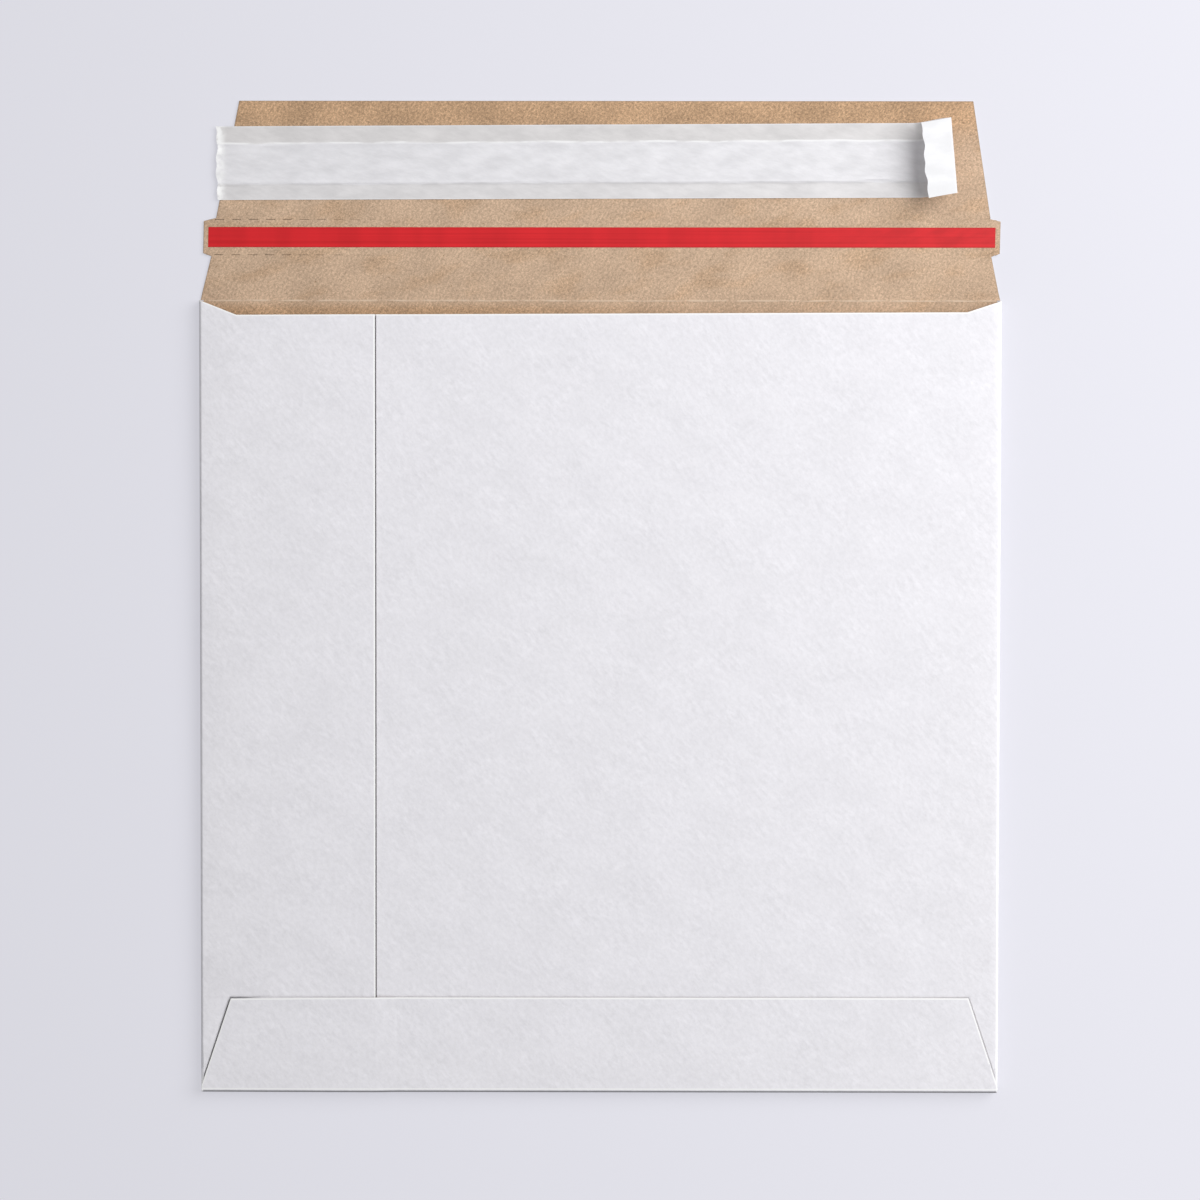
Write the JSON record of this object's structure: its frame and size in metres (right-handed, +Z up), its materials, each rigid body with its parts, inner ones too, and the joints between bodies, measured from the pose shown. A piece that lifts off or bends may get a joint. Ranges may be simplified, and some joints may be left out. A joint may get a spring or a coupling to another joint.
{
  "type": "calendar envelope",
  "caption": "Flat square mailer of white board with a kraft inside, an open closing flap, a red tear tape and a peel-off closing strip.",
  "frame": {"origin": "on the surface that the envelope lies on, under the middle of its opened length and width", "axes": "+X across the envelope, +Y from the bottom fold to the free end of the closing flap, +Z up from the address side to the seam side"},
  "size_m": [0.32, 0.3976, 0.0135],
  "materials": {
    "white_board": "smooth matt white coated solid board, kraft brown inside",
    "kraft_board": "uncoated kraft inner side of the same board, with fine fibre speckles",
    "red_tape": "satin red film",
    "clear_adhesive": "pale soft hot-melt band",
    "liner_paper": "smooth white silicone-coated paper"
  },
  "bodies": {
    "pocket": {"pocket_board": "white_board"},
    "flap": {"closing_flap": "kraft_board", "tear_tape": "red_tape", "adhesive_strip": "clear_adhesive", "release_liner": "liner_paper"}
  },
  "joints": [
    {"name": "flap_fold", "type": "hinge", "parent": "pocket", "child": "flap", "pos_m": [0, 0.11875, 0.00415], "axis": [1, 0, 0], "range_deg": [0, 179.5], "deforming": ["release_liner"]}
  ]
}
